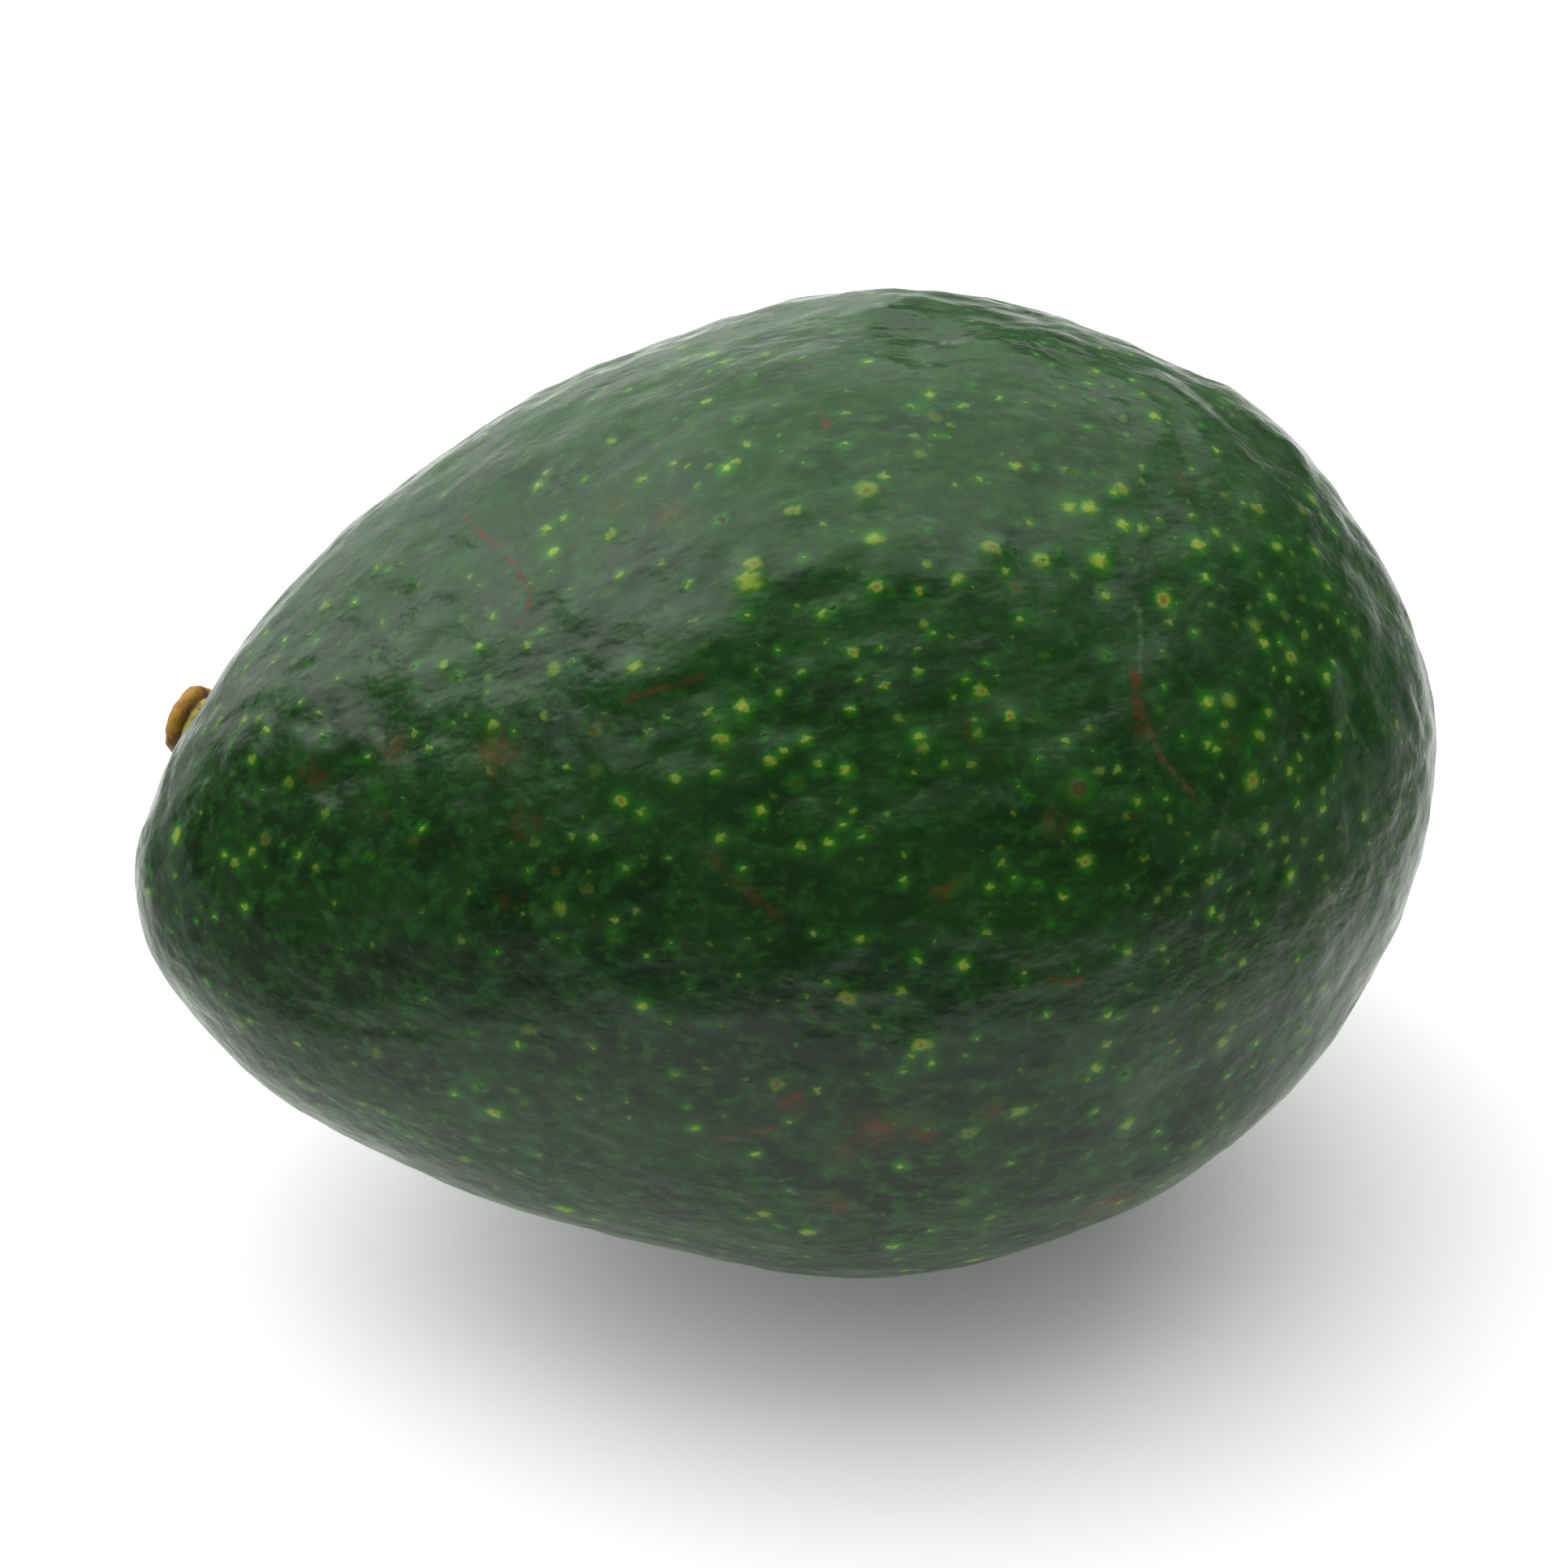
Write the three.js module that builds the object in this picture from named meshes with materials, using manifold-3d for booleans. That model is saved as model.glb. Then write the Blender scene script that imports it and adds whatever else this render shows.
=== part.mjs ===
// A green-skinned avocado, as picked, lying on its side with the short stub of its stem.
// Millimetres, +Z up. +X runs from the narrow stem end to the broad blossom end, and -Y is the
// side towards the viewer. The origin is on the surface that the fruit lies on, under the
// middle of the bounding box.

import * as THREE from "three";
import { ImprovedNoise } from "three/addons/math/ImprovedNoise.js";
import { mergeVertices } from "three/addons/utils/BufferGeometryUtils.js";
import Module from "manifold-3d";

// Driving sizes of the fruit
const HALF_LENGTH = 62.4; // half the length from the neck's tip to the blossom end
const HALF_WIDTH = 50.2; // half the width across the belly, lying down
const HALF_HEIGHT = 48.8; // half the height at the belly
const BELLY_STATION = 0.13; // where the taper sets in, -1 at the neck's tip and 1 at the far end
const BELLY_BLEND = 0.2; // share of the half length over which the belly turns into the taper
const NECK_TAPER = 0.33; // share of the girth lost per half length towards the neck
const NECK_SWING = 2; // how far the neck's tip bends towards the viewer
const REST_PITCH = 3.9; // degrees by which the blossom end lies higher than the neck
const FLAT_DEPTH = 1.9; // how far the underside is pressed flat where it lies
const FLAT_EDGE = 0.4; // height over which the flat spot runs out into the round

// Swellings (height above 0) and hollows (below 0) of the skin, each drawn out from one place to
// another. A place is how far along the length it lies from the fruit's centre, and the angle
// about the length: 0 is the top, 90 the viewer's side, 180 the underside and 270 the far side.
// reach is how far the form spreads to each side.
const FORMS = [
  // the far shoulder, a blunt knob with flatter skin on both sides of it
  { from: [50, 340], to: [50, 340], reach: 11, height: 1.55 },
  { from: [54, 0], to: [59, 27], reach: 12, height: 1.1 },
  // the back as it is seen against the light, from the blossom end to the neck
  { from: [18, 335], to: [18, 335], reach: 16, height: 0.55 },
  { from: [0, 335], to: [0, 335], reach: 16, height: -0.85 },
  { from: [-18, 335], to: [-18, 335], reach: 16, height: 1 },
  { from: [-32, 334], to: [-32, 334], reach: 14, height: 1.5 },
  { from: [-46, 338], to: [-46, 338], reach: 14, height: 1 },
  // the neck's tip, blunt on its upper side and hollow towards the underside
  { from: [-62, 6], to: [-62, 6], reach: 14, height: -0.25 },
  { from: [-60, 120], to: [-60, 120], reach: 14, height: -0.55 },
  // the lower side towards the viewer, from the neck to the blossom end
  { from: [-47, 128], to: [-34, 130], reach: 14, height: 1.35 },
  { from: [-18, 132], to: [-18, 132], reach: 16, height: 0.5 },
  { from: [2, 132], to: [2, 132], reach: 16, height: 0.65 },
  { from: [16, 127], to: [16, 127], reach: 12, height: -0.35 },
  { from: [25, 123], to: [25, 123], reach: 10, height: 0.65 },
  { from: [33, 121], to: [44, 121], reach: 12, height: 1.45 },
  { from: [55, 110], to: [55, 110], reach: 14, height: 0.7 },
  { from: [60, 80], to: [60, 80], reach: 14, height: 1.3 },
  // the broad dent in the neck's upper side, and the ridge that ends it
  { from: [-29, 19], to: [-14, 23], reach: 22, height: -1 },
  { from: [-5, 7], to: [-8, 40], reach: 8, height: 0.5 },
  // the brow over the belly, and the flatter skin below and beside it
  { from: [-5, 29], to: [18, 34], reach: 8, height: 0.7 },
  { from: [-2, 46], to: [15, 50], reach: 13, height: -0.5 },
  { from: [27, 27], to: [27, 41], reach: 13, height: -0.6 },
  // the ridge on the neck, the small dent high on the back and the step below the neck's dent
  { from: [-48, 8], to: [-40, 14], reach: 5, height: 0.45 },
  { from: [17, 353], to: [17, 353], reach: 6, height: -0.5 },
  { from: [-16, 38], to: [-8, 37], reach: 5, height: 0.35 },
  // the crease that runs down from the brow towards the blossom end
  { from: [30, 38], to: [28, 50], reach: 5, height: -0.4 },
  { from: [28, 50], to: [40, 73], reach: 5, height: -0.3 },
  // the shallow ridge from the far shoulder to the blossom end
  { from: [38, 0], to: [49, 20], reach: 5, height: 0.35 },
  { from: [49, 20], to: [54, 42], reach: 5, height: 0.35 },
  // the fold between the underside and the blossom end
  { from: [22, 119], to: [29, 105], reach: 5, height: -0.4 },
  { from: [29, 105], to: [48, 109], reach: 5, height: -0.4 },
  // the low swelling along the belly
  { from: [-29, 60], to: [14, 66], reach: 9, height: 0.35 },
];

// Uneven growth: shallow rolling lumps, each with its size across and its height
const LUMPS = [
  { size: 34, height: 0.6 },
  { size: 15, height: 0.25 },
];

// The stub of the stem
const STEM_ALONG = -51.8; // its place, given as for the forms above
const STEM_AROUND = 289;
const STEM_HEIGHT = 4.2;
const STEM_RADIUS = 3.7;
const STEM_GAP = 0.3; // clearance between the stub's foot and the skin

// The stub's outline from its foot to its cut end, as shares of its radius and its height: a
// foot, a groove and a rounded button
const STEM_PROFILE = [
  [0, -0.5],
  [1, -0.5],
  [1.04, 0.12],
  [0.9, 0.3],
  [0.95, 0.55],
  [0.9, 0.8],
  [0.68, 0.95],
  [0, 1],
];

// Mesh fineness
const SKIN_GRID = 28; // squares along each edge of the cube that is blown up into the fruit
const STEM_SIDES = 24;
const SEAT_SPREAD = 0.05; // how far about the stem's seat the skin's slope is taken, in radians
const WELD = 1e-4; // corners nearer than this are one

const Y_AXIS = new THREE.Vector3(0, 1, 0);
const Z_AXIS = new THREE.Vector3(0, 0, 1);
const noise = new ImprovedNoise();

// The lesser of v and 0, rounded off where it turns.
function smoothBelowZero(v, blend) {
  return (v - Math.sqrt(v * v + blend * blend)) / 2;
}

// The plain egg form without its swellings: the point for a direction on the unit sphere.
function eggPoint(direction) {
  const toNeck = smoothBelowZero(direction.x - BELLY_STATION, BELLY_BLEND);
  const girth = 1 + NECK_TAPER * toNeck;
  const bend = toNeck * toNeck;
  return new THREE.Vector3(
    HALF_LENGTH * direction.x,
    HALF_WIDTH * girth * direction.y - NECK_SWING * bend,
    HALF_HEIGHT * girth * direction.z,
  );
}

// The direction on the unit sphere of a place given by along and around.
function directionAt(along, around) {
  const x = THREE.MathUtils.clamp(along / HALF_LENGTH, -1, 1);
  const ring = Math.sqrt(1 - x * x);
  const angle = THREE.MathUtils.degToRad(around);
  return new THREE.Vector3(x, -ring * Math.sin(angle), ring * Math.cos(angle));
}

const forms = FORMS.map(({ from, to, reach, height }) => ({
  spine: new THREE.Line3(
    eggPoint(directionAt(...from)),
    eggPoint(directionAt(...to)),
  ),
  reach,
  height,
}));

// How far the skin stands out from the plain egg form at a point of that form.
function relief(point) {
  let height = 0;
  for (const form of forms) {
    const nearest = form.spine.closestPointToPoint(
      point,
      true,
      new THREE.Vector3(),
    );
    const share = point.distanceTo(nearest) / form.reach;
    height += form.height * Math.exp(-share * share);
  }
  for (const lump of LUMPS) {
    const { x, y, z } = point.clone().divideScalar(lump.size);
    height += lump.height * noise.noise(x, y, z);
  }
  return height;
}

// The skin's point for a direction on the unit sphere, before the fruit is laid down.
function skinPoint(direction) {
  const egg = eggPoint(direction);
  return egg.addScaledVector(egg.clone().normalize(), relief(egg));
}

const lie = new THREE.Quaternion().setFromAxisAngle(
  Y_AXIS,
  -THREE.MathUtils.degToRad(REST_PITCH),
);

// A height above the flat spot's plane: 0 below it, and rounded off just above it.
function pressedHeight(z) {
  if (z <= 0) return 0;
  if (z < FLAT_EDGE) return (z * z) / (2 * FLAT_EDGE);
  return z - FLAT_EDGE / 2;
}

// The whole skin: a cube of even squares blown up into the fruit, laid down and pressed flat
// where it rests.
function fruitGeometry() {
  const box = new THREE.BoxGeometry(
    2,
    2,
    2,
    SKIN_GRID,
    SKIN_GRID,
    SKIN_GRID,
  );
  box.deleteAttribute("normal");
  box.deleteAttribute("uv");
  const geometry = mergeVertices(box);
  const position = geometry.getAttribute("position");
  const points = [];
  for (let i = 0; i < position.count; i++) {
    // The tangent spaces the squares evenly over the sphere.
    const direction = new THREE.Vector3(
      Math.tan((position.getX(i) * Math.PI) / 4),
      Math.tan((position.getY(i) * Math.PI) / 4),
      Math.tan((position.getZ(i) * Math.PI) / 4),
    ).normalize();
    points.push(skinPoint(direction).applyQuaternion(lie));
  }
  const floor = Math.min(...points.map((point) => point.z)) + FLAT_DEPTH;
  points.forEach((point, i) =>
    position.setXYZ(i, point.x, point.y, pressedHeight(point.z - floor)),
  );
  return { geometry, floor };
}

// Where the stem stands on the skin, and the way it points.
function stemSeat(floor) {
  const direction = directionAt(STEM_ALONG, STEM_AROUND);
  const side = new THREE.Vector3().crossVectors(direction, Z_AXIS).normalize();
  const other = new THREE.Vector3().crossVectors(direction, side);
  const near = (offset) =>
    skinPoint(direction.clone().addScaledVector(offset, SEAT_SPREAD).normalize());
  const seat = skinPoint(direction);
  const outward = new THREE.Vector3()
    .crossVectors(near(side).sub(seat), near(other).sub(seat))
    .normalize();
  if (outward.dot(seat) < 0) outward.negate();
  seat.applyQuaternion(lie);
  outward.applyQuaternion(lie);
  seat.z = pressedHeight(seat.z - floor);
  return { seat, outward };
}

// The stub as a turned form standing on +Z, its foot sunk below 0 for the skin to trim.
function stubGeometry() {
  const profile = STEM_PROFILE.map(
    ([out, up]) => new THREE.Vector2(out * STEM_RADIUS, up * STEM_HEIGHT),
  );
  const lathe = new THREE.LatheGeometry(profile, STEM_SIDES);
  lathe.rotateX(Math.PI / 2);
  return lathe;
}

const wasm = await Module();
wasm.setup();

// A closed three.js geometry as a manifold-3d solid.
function toSolid(geometry) {
  const bare = geometry.clone();
  bare.deleteAttribute("normal");
  bare.deleteAttribute("uv");
  const merged = mergeVertices(bare, WELD);
  return new wasm.Manifold(
    new wasm.Mesh({
      numProp: 3,
      vertProperties: new Float32Array(merged.getAttribute("position").array),
      triVerts: new Uint32Array(merged.index.array),
    }),
  );
}

// A manifold-3d solid as a three.js geometry.
function toGeometry(solid) {
  const { vertProperties, triVerts } = solid.getMesh();
  const geometry = new THREE.BufferGeometry();
  geometry.setAttribute(
    "position",
    new THREE.BufferAttribute(vertProperties, 3),
  );
  geometry.setIndex(new THREE.BufferAttribute(triVerts, 1));
  geometry.computeVertexNormals();
  return geometry;
}

// The stub, its foot cut to the skin's own shape and held just clear of it.
function stemGeometry(skin, floor) {
  const { seat, outward } = stemSeat(floor);
  const turn = new THREE.Quaternion().setFromUnitVectors(Z_AXIS, outward);
  const stub = stubGeometry().applyQuaternion(turn);
  stub.translate(seat.x, seat.y, seat.z);
  const trimmed = toGeometry(toSolid(stub).subtract(toSolid(skin)));
  const lift = outward.multiplyScalar(STEM_GAP);
  return trimmed.translate(lift.x, lift.y, lift.z);
}

const { geometry: skin, floor } = fruitGeometry();
skin.computeVertexNormals();

const fruit = new THREE.Mesh(
  skin,
  new THREE.MeshStandardMaterial({
    color: "#2c4a26",
    roughness: 0.38,
    metalness: 0,
  }),
);
fruit.name = "fruit";

const stem = new THREE.Mesh(
  stemGeometry(skin, floor),
  new THREE.MeshStandardMaterial({
    color: "#a5792a",
    roughness: 0.6,
    metalness: 0,
  }),
);
stem.name = "stem";

const avocado = new THREE.Group();
avocado.name = "avocado";
avocado.add(fruit, stem);
const middle = new THREE.Box3().setFromObject(avocado).getCenter(new THREE.Vector3());
avocado.position.set(-middle.x, -middle.y, 0);

export default avocado;
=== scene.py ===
"""A whole green-skinned avocado lying on a pale studio floor.

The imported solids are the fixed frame. The fruit's solid is rounded off, given the fine relief and
the marks of its waxy skin, and the stub of the stem is modelled anew where its solid stands.
"""

import logging
import math
import random
from collections.abc import Sequence
from dataclasses import dataclass
from enum import Enum
from typing import Any

import bmesh
import bpy
import numpy as np
from mathutils import Matrix, Vector, noise
from mathutils.bvhtree import BVHTree
from mathutils.kdtree import KDTree


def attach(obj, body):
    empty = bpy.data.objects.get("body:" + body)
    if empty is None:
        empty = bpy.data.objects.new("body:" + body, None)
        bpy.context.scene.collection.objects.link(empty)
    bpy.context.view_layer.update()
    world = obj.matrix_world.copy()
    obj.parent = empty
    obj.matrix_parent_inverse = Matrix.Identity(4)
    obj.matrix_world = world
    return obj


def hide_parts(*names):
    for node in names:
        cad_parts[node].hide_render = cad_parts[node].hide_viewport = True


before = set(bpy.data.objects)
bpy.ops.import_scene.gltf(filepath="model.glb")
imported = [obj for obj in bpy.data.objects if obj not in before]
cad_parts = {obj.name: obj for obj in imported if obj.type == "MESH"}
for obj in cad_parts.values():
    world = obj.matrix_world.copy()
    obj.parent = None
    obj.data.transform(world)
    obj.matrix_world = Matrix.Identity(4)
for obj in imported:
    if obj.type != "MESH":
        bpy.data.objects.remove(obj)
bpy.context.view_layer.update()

MM = 0.001
PHOTO_SIDE = 1932  # the photograph's width and height in pixels
LOG = logging.getLogger("avocado")

# Pores that stand out in the photograph: pixels from its left and top edge, and radius in mm
BRIGHT_PORES = (
    (672, 651, 0.6), (694, 637, 0.5), (680, 680, 0.6), (792, 591, 0.6), (925, 718, 0.95),
    (763, 708, 0.5), (608, 760, 0.5), (591, 798, 0.5), (546, 820, 0.6), (784, 823, 0.65),
    (698, 944, 0.4), (834, 959, 0.6), (882, 953, 0.5), (915, 870, 0.65), (887, 1032, 0.6),
    (732, 1033, 0.5), (916, 1070, 0.35), (520, 1020, 0.4), (663, 598, 0.55), (718, 589, 0.4),
    (898, 581, 0.6), (1088, 587, 0.55), (1041, 549, 0.35), (1078, 669, 0.75), (1250, 573, 0.6),
    (1221, 593, 0.3), (1238, 705, 0.5), (993, 694, 0.35), (1179, 716, 0.7), (1013, 757, 0.55),
    (921, 759, 0.4), (1148, 781, 0.4), (958, 801, 0.4), (988, 827, 0.45), (1059, 837, 0.45),
    (1132, 828, 0.45), (1215, 816, 0.3), (1189, 837, 0.5), (959, 854, 0.5), (1048, 874, 0.45),
    (993, 911, 0.5), (949, 937, 0.6), (1132, 909, 0.6), (1276, 575, 0.3), (1318, 623, 0.7),
    (1342, 625, 0.75), (1350, 582, 0.3), (1373, 607, 0.5), (1384, 647, 0.65), (1283, 690, 0.8),
    (1353, 692, 0.8), (1362, 734, 0.5), (1257, 763, 0.5), (1042, 949, 0.55), (1126, 951, 0.35),
    (937, 999, 0.5), (1051, 1000, 0.4), (1039, 1015, 0.35), (1023, 1039, 0.5), (1063, 1031, 0.4),
    (1279, 937, 0.3), (1256, 969, 0.3), (1329, 1023, 0.55), (1251, 1082, 0.4), (1219, 1093, 0.45),
    (1311, 1104, 0.5), (1130, 1182, 0.45), (1187, 1189, 0.55), (1388, 1171, 0.55),
    (1123, 1299, 0.45), (1112, 1318, 0.5), (1147, 1311, 0.45), (1203, 1279, 0.35),
    (1289, 1251, 0.4), (1364, 1249, 0.5), (1380, 1254, 0.4), (1351, 1315, 0.6), (1348, 1369, 0.45),
    (1007, 1343, 0.45), (973, 1382, 0.4), (1470, 636, 0.55), (1407, 651, 0.55), (1498, 655, 0.6),
    (1476, 673, 0.7), (1523, 677, 0.6), (1573, 674, 0.65), (1621, 678, 0.6), (1485, 712, 0.5),
    (1452, 743, 0.35), (1567, 736, 0.6), (1635, 724, 0.5), (1472, 779, 0.4), (1556, 793, 0.6),
    (1579, 791, 0.35), (1643, 817, 0.5), (1569, 826, 0.35), (1588, 837, 0.4), (1634, 836, 0.65),
    (1488, 865, 0.65), (1508, 893, 0.5), (1550, 906, 0.65), (1612, 906, 0.45), (1649, 906, 0.5),
    (1458, 907, 0.35), (1488, 916, 0.5), (1498, 923, 0.5), (1603, 932, 0.5), (1591, 949, 0.55),
    (1402, 988, 0.5), (1438, 984, 0.35), (1630, 997, 0.5), (1434, 845, 0.35), (1557, 1020, 0.6),
    (1598, 990, 0.4), (1682, 1005, 0.5), (1629, 1057, 0.45), (1590, 1080, 0.6), (1501, 1078, 0.4),
    (1492, 1124, 0.5), (1549, 1138, 0.4), (1531, 1186, 0.5), (1598, 1182, 0.45), (314, 936, 0.6),
    (329, 901, 0.45), (366, 1054, 0.5), (414, 835, 0.4), (276, 1053, 0.5), (451, 933, 0.4),
)
FAINT_PORES = (
    (694, 588, 0.4), (815, 694, 0.7), (963, 554, 0.5), (991, 571, 0.5), (875, 578, 0.6),
    (1235, 557, 0.4), (1235, 624, 0.4), (1199, 724, 0.4), (982, 748, 0.6), (903, 759, 0.4),
    (954, 758, 0.3), (1141, 770, 0.7), (1018, 791, 0.5), (934, 793, 0.4), (1227, 833, 0.4),
    (1174, 859, 0.6), (1138, 920, 0.9), (1313, 577, 0.6), (1410, 650, 0.9), (1324, 710, 0.7),
    (1364, 675, 0.5), (992, 913, 0.4), (1104, 949, 0.4), (1093, 1004, 0.5), (1354, 951, 0.8),
    (1233, 1063, 0.7), (1220, 1126, 0.4), (1152, 1161, 0.5), (1262, 1214, 0.4), (1276, 1362, 0.5),
    (959, 1233, 0.4), (1388, 1091, 0.5), (1368, 605, 0.4), (1533, 620, 0.6), (1554, 708, 0.6),
    (1577, 707, 0.4), (1493, 745, 0.7), (1600, 766, 0.5), (1698, 865, 0.5), (1504, 957, 0.5),
    (1566, 1040, 0.8), (1588, 1057, 0.7), (1634, 1100, 0.5), (1687, 1040, 0.5), (373, 867, 0.4),
    (398, 905, 0.5), (322, 974, 0.4), (348, 1039, 0.4), (390, 1070, 0.7), (653, 720, 0.5),
)
CORKY_PORES = (
    (753, 660, 0.7), (682, 825, 0.75), (470, 767, 0.5), (529, 920, 0.5), (512, 904, 0.5),
    (849, 720, 0.5), (890, 910, 0.7), (873, 875, 0.55), (987, 1042, 0.5), (766, 985, 0.7),
    (791, 1001, 0.55), (908, 574, 0.55), (849, 579, 0.4), (1067, 606, 0.95), (977, 637, 0.7),
    (1220, 680, 0.9), (930, 701, 0.8), (1081, 724, 0.7), (1132, 729, 0.5), (1208, 588, 0.5),
    (1050, 803, 0.6), (1084, 798, 0.35), (1090, 845, 0.55), (1208, 851, 0.7), (1245, 882, 0.6),
    (965, 925, 0.5), (1270, 641, 0.5), (1382, 603, 0.75), (1408, 576, 0.5), (1008, 940, 0.5),
    (1165, 940, 0.5), (1313, 914, 0.5), (1338, 1061, 0.7), (1214, 1147, 0.4), (1110, 1220, 0.55),
    (1263, 1200, 0.35), (1136, 1286, 0.8), (1189, 1302, 0.4), (1384, 647, 0.4), (1431, 640, 0.5),
    (1434, 738, 0.85), (1592, 809, 0.75), (1610, 782, 0.55), (1648, 765, 0.5), (1561, 879, 0.6),
    (1542, 962, 0.85), (1429, 875, 0.35), (1490, 1084, 0.6), (1504, 1130, 0.6), (1652, 1094, 0.4),
    (310, 1049, 0.5), (300, 887, 0.5), (251, 903, 0.45), (373, 867, 0.35), (1283, 693, 0.5),
)
DARK_PORES = (
    (563, 834, 0.5), (1027, 748, 0.45), (886, 889, 0.6), (916, 889, 0.5), (943, 905, 0.4),
    (980, 965, 0.6), (1141, 660, 0.35), (1091, 727, 0.6), (1307, 679, 0.4), (1324, 581, 0.4),
    (1358, 727, 0.45), (1072, 1023, 0.5), (1267, 983, 0.4), (1330, 972, 1.0), (1279, 1091, 0.35),
    (1292, 1136, 0.4), (1386, 1324, 0.5), (1670, 803, 0.35), (1535, 928, 0.35), (402, 907, 0.5),
    (423, 1062, 0.45), (455, 1054, 0.4), (1505, 1178, 0.7), (1574, 1162, 0.5), (890, 647, 0.5),
    (828, 637, 0.6), (990, 374, 0.5), (512, 820, 0.4),
)


def linear(hex_colour: str) -> tuple[float, float, float, float]:
    """Turns an sRGB hex colour into Blender's linear one.

    Args:
        hex_colour: Six hex digits after a hash sign.

    Returns:
        Linear red, green and blue, and an alpha of 1.
    """
    parts = [int(hex_colour[i : i + 2], 16) / 255 for i in (1, 3, 5)]
    curve = [p / 12.92 if p <= 0.04045 else ((p + 0.055) / 1.055) ** 2.4 for p in parts]
    return (*curve, 1.0)


def add_node(
    tree: bpy.types.NodeTree,
    kind: str,
    inputs: dict[str | int, Any] | None = None,
    **settings: Any,
) -> bpy.types.Node:
    """Adds a node with its settings and links.

    Args:
        tree: The node tree it goes into.
        kind: Blender's name of the node, after "ShaderNode".
        inputs: Input name or number to a value, or to the output socket it is linked from.
        settings: The node's own properties.

    Returns:
        The new node.
    """
    node = tree.nodes.new("ShaderNode" + kind)
    for name, value in settings.items():
        setattr(node, name, value)
    for name, value in (inputs or {}).items():
        if isinstance(value, bpy.types.NodeSocket):
            tree.links.new(value, node.inputs[name])
        else:
            node.inputs[name].default_value = value
    return node


def new_material(name: str) -> tuple[bpy.types.Material, bpy.types.NodeTree]:
    """Makes an empty node material.

    Args:
        name: The material's name.

    Returns:
        The material and its node tree.
    """
    material = bpy.data.materials.new(name)
    material.use_nodes = True
    material.node_tree.nodes.clear()
    return material, material.node_tree


def link_object(name: str, mesh: bpy.types.Mesh) -> bpy.types.Object:
    """Puts a mesh into the scene as an object at the origin.

    Args:
        name: The piece's name.
        mesh: Its mesh, already in place.

    Returns:
        The new object.
    """
    piece = bpy.data.objects.new(name, mesh)
    bpy.context.scene.collection.objects.link(piece)
    return piece


def store(mesh: bpy.types.Mesh, name: str, kind: str, domain: str, values: np.ndarray) -> None:
    """Stores values on a mesh, for a finish to read.

    Args:
        mesh: The mesh.
        name: The attribute's name.
        kind: Its type, FLOAT or FLOAT_VECTOR.
        domain: What each value belongs to, POINT or FACE.
        values: One row for each of them.
    """
    attribute = mesh.attributes.new(name, kind, domain)
    word = "value" if kind == "FLOAT" else "vector"
    attribute.data.foreach_set(word, np.asarray(values, np.float32).ravel())


def to_segment(points: np.ndarray, start: Vector, end: Vector) -> np.ndarray:
    """Finds the way from a straight piece of line to each point.

    Args:
        points: Places, one row each.
        start: One end of the piece.
        end: Its other end.

    Returns:
        The offset of each point from the nearest place on the piece, one row each.
    """
    first, way = np.array(start), np.array(end - start)
    share = np.clip((points - first) @ way / (way @ way), 0, 1)
    return points - first - share[:, None] * way


def search_tree(places: Sequence[Vector] | np.ndarray) -> KDTree:
    """Makes a tree that finds the places near another one.

    Args:
        places: The places to be found.

    Returns:
        The tree, which numbers them in their order.
    """
    tree = KDTree(len(places))
    for i, place in enumerate(places):
        tree.insert(place, i)
    tree.balance()
    return tree


def cell(place: Vector, step: float) -> tuple[int, ...]:
    """Returns which cell of a grid a place is in, where the cells are a step wide."""
    return tuple(math.floor(c / step) for c in place)


@dataclass(frozen=True)
class View:
    """The photograph's camera: where it stands, and where its pixels look."""

    azimuth: float = -10.0  # degrees, towards the neck
    elevation: float = 35.0
    distance: float = 600.0  # mm
    lens: float = 143.0
    sensor: float = 36.0
    target: tuple[float, float, float] = (0.36, 0.0, 45.2)  # mm

    def axes(self) -> tuple[Vector, Vector, Vector]:
        """Returns the picture's right, its up and the way back to the camera."""
        a, e = math.radians(self.azimuth), math.radians(self.elevation)
        back = Vector((math.sin(a) * math.cos(e), -math.cos(a) * math.cos(e), math.sin(e)))
        right = Vector((0, 0, 1)).cross(back).normalized()
        return right, back.cross(right), back

    def eye(self) -> Vector:
        """Returns the camera's place in mm."""
        return Vector(self.target) + self.axes()[2] * self.distance

    def ray(self, x: float, y: float) -> Vector:
        """Finds the direction in which a pixel looks.

        Args:
            x: Pixels from the photograph's left edge.
            y: Pixels from its top edge.

        Returns:
            A unit direction in the row frame.
        """
        right, up, back = self.axes()
        scale = self.sensor / self.lens / PHOTO_SIDE
        aim = right * (x - PHOTO_SIDE / 2) - up * (y - PHOTO_SIDE / 2)
        return (aim * scale - back).normalized()

    def build(self) -> None:
        """Makes the camera and gives it to the scene."""
        data = bpy.data.cameras.new("photo_camera")
        data.lens = self.lens
        data.sensor_width = self.sensor
        data.clip_start = 0.01
        camera = bpy.data.objects.new("photo_camera", data)
        camera.location = self.eye() * MM
        camera.rotation_mode = "QUATERNION"
        camera.rotation_quaternion = (-self.axes()[2]).to_track_quat("-Z", "Y")
        bpy.context.scene.collection.objects.link(camera)
        bpy.context.scene.camera = camera


class PoreTint(Enum):
    """What a breathing pore of the skin has become, as a number that its finish reads."""

    PALE = 0.0  # open and waxy, pale yellow-green
    CORKY = 0.5  # healed over, orange-brown in the middle
    DARK = 1.0  # dried out, all brown


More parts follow.
